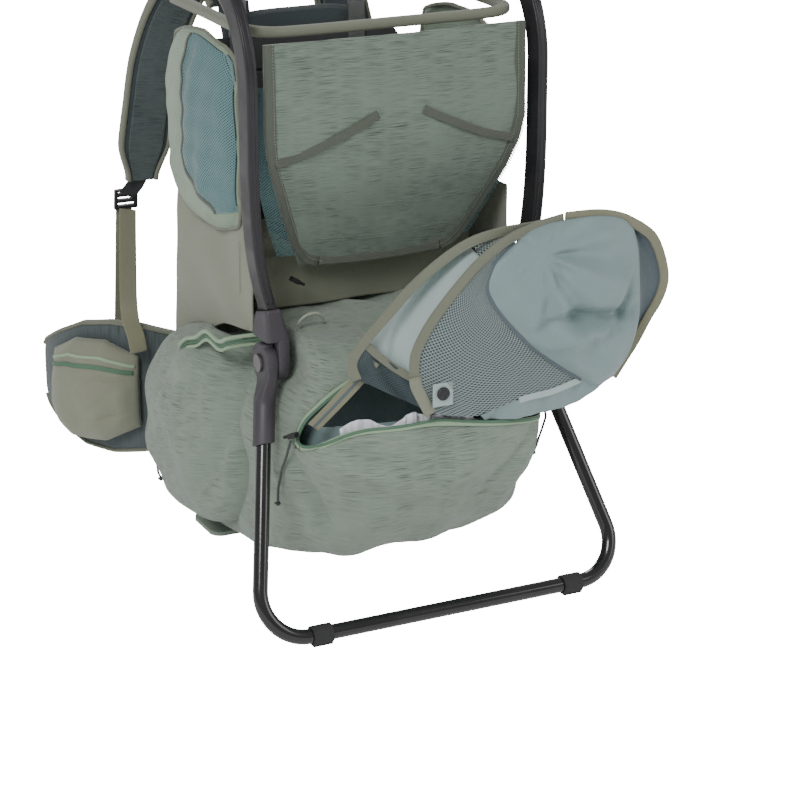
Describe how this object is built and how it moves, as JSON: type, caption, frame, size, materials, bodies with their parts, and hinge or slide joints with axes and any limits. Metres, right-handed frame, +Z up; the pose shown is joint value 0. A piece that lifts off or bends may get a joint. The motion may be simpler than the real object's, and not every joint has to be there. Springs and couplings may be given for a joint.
{
  "type": "baby carrier backpack",
  "caption": "Framed baby carrier backpack on a folding kickstand, with lower gear bag, side pockets, child seat, hip belt, shoulder straps and a drawn-out sunshade.",
  "frame": {"origin": "on the floor under the middle of the front base panel", "axes": "+X to the wearer's right, +Y towards the wearer, +Z up; the part stands on the base panel and the deployed kickstand"},
  "size_m": [0.5548, 0.5879, 0.7534],
  "materials": {
    "spar_metal": "satin black anodised",
    "hub_plastic": "fine-grained dark grey",
    "kickstand_gloss": "gloss black powder coat",
    "foot_rubber": "matt",
    "bolt_steel": "black zinc",
    "stay_aluminium": "plain",
    "board": "smooth",
    "heather_fabric": "heathered sage weave",
    "plain_fabric": "plain olive-grey weave",
    "ripstop_fabric": "sage ripstop",
    "zip_tape": "sage zip tape",
    "liner_fabric": "thin crinkled liner",
    "webbing": "ribbed webbing",
    "binding": "grosgrain tape",
    "pad_fabric": "charcoal spacer mesh over foam",
    "hood_fabric": "coated blue-grey",
    "black_plastic": "moulded acetal",
    "dark_webbing": "ribbed webbing",
    "slider_metal": "black",
    "cord": "twisted cord"
  },
  "bodies": {
    "root": {"spar_left": "spar_metal", "spar_right": "spar_metal", "front_bar": "spar_metal", "top_joints": "hub_plastic", "hub_housing_left": "hub_plastic", "hub_housing_right": "hub_plastic", "pivot_bolts": "bolt_steel", "lower_frame": "spar_metal", "back_sheet": "board", "back_stays": "stay_aluminium", "base_panel": "board", "lower_bag": "heather_fabric", "side_pocket_left": "heather_fabric", "side_pocket_right": "heather_fabric", "main_zip": "zip_tape", "side_zips": "zip_tape", "rain_cover": "liner_fabric", "retainer_webbing": "webbing", "side_panel_left": "plain_fabric", "side_panel_right": "plain_fabric", "wing_left": "ripstop_fabric", "wing_right": "ripstop_fabric", "seat_back_panel": "heather_fabric", "seat_band": "plain_fabric", "drool_pad": "pad_fabric", "cockpit_rim": "binding", "cord_loop": "cord", "back_pad": "pad_fabric", "lumbar_pad": "pad_fabric", "side_cord": "cord"},
    "kickstand": {"kickstand_tube": "kickstand_gloss", "socket_arm_left": "hub_plastic", "socket_arm_right": "hub_plastic", "kickstand_feet": "foot_rubber"},
    "grab_handle": {"grab_handle": "dark_webbing"},
    "child_seat": {"seat_cushion": "pad_fabric", "child_harness": "dark_webbing", "child_buckle": "black_plastic"},
    "harness": {"yoke": "pad_fabric", "shoulder_strap_left": "pad_fabric", "shoulder_strap_right": "pad_fabric", "ladder_locks": "black_plastic", "strap_webbing_left": "webbing", "strap_webbing_right": "webbing"},
    "sternum": {"sternum_strap": "black_plastic"},
    "hip_left": {"hip_wing_left": "pad_fabric", "belt_pocket_left": "plain_fabric", "hip_buckle_socket": "black_plastic"},
    "hip_right": {"hip_wing_right": "pad_fabric", "belt_pocket_right": "plain_fabric", "hip_buckle_plug": "black_plastic"},
    "sunshade": {"sunshade_hood": "hood_fabric", "sunshade_hoops": "binding", "sunshade_snap": "black_plastic"},
    "main_slider_left": {"main_slider_left": "slider_metal", "main_cord_left": "cord"},
    "main_slider_right": {"main_slider_right": "slider_metal", "main_cord_right": "cord"},
    "panel_slider": {"panel_slider": "slider_metal"}
  },
  "joints": [
    {"name": "kickstand_fold", "type": "hinge", "parent": "root", "child": "kickstand", "pos_m": [0, -0.22, 0.271], "axis": [1, 0, 0], "range_deg": [0, 50]},
    {"name": "grab_handle_swing", "type": "hinge", "parent": "root", "child": "grab_handle", "pos_m": [0, 0.017, 0.71693], "axis": [1, 0, 0], "range_deg": [-85, 20]},
    {"name": "seat_height", "type": "slide", "parent": "root", "child": "child_seat", "axis": [0, 0, 1], "range_m": [0, 0.045]},
    {"name": "torso_adjust", "type": "slide", "parent": "root", "child": "harness", "axis": [0, 0, 1], "range_m": [0, 0.05], "deforming": ["strap_webbing_left", "strap_webbing_right"]},
    {"name": "sternum_height", "type": "slide", "parent": "harness", "child": "sternum", "axis": [0, 0, 1], "range_m": [-0.02, 0.02]},
    {"name": "hip_wing_left_wrap", "type": "hinge", "parent": "root", "child": "hip_left", "pos_m": [-0.148, 0.041, 0.158], "axis": [0, 0, -1], "range_deg": [-10, 28]},
    {"name": "hip_wing_right_wrap", "type": "hinge", "parent": "root", "child": "hip_right", "pos_m": [0.148, 0.041, 0.158], "axis": [0, 0, 1], "range_deg": [-10, 28]},
    {"name": "sunshade_lift", "type": "hinge", "parent": "root", "child": "sunshade", "pos_m": [-0.075, -0.33, 0.245], "axis": [0, -1, 0], "range_deg": [0, 25]},
    {"name": "main_zip_left_slide", "type": "slide", "parent": "root", "child": "main_slider_left", "axis": [0.5569, -0.7724, 0.3054], "range_m": [0, 0.012]},
    {"name": "main_zip_right_slide", "type": "slide", "parent": "root", "child": "main_slider_right", "axis": [-0.6598, -0.7331, 0.165], "range_m": [0, 0.012]},
    {"name": "panel_zip_slide", "type": "slide", "parent": "root", "child": "panel_slider", "axis": [-0.3778, -0.5352, 0.7556], "range_m": [0, 0.03]}
  ]
}
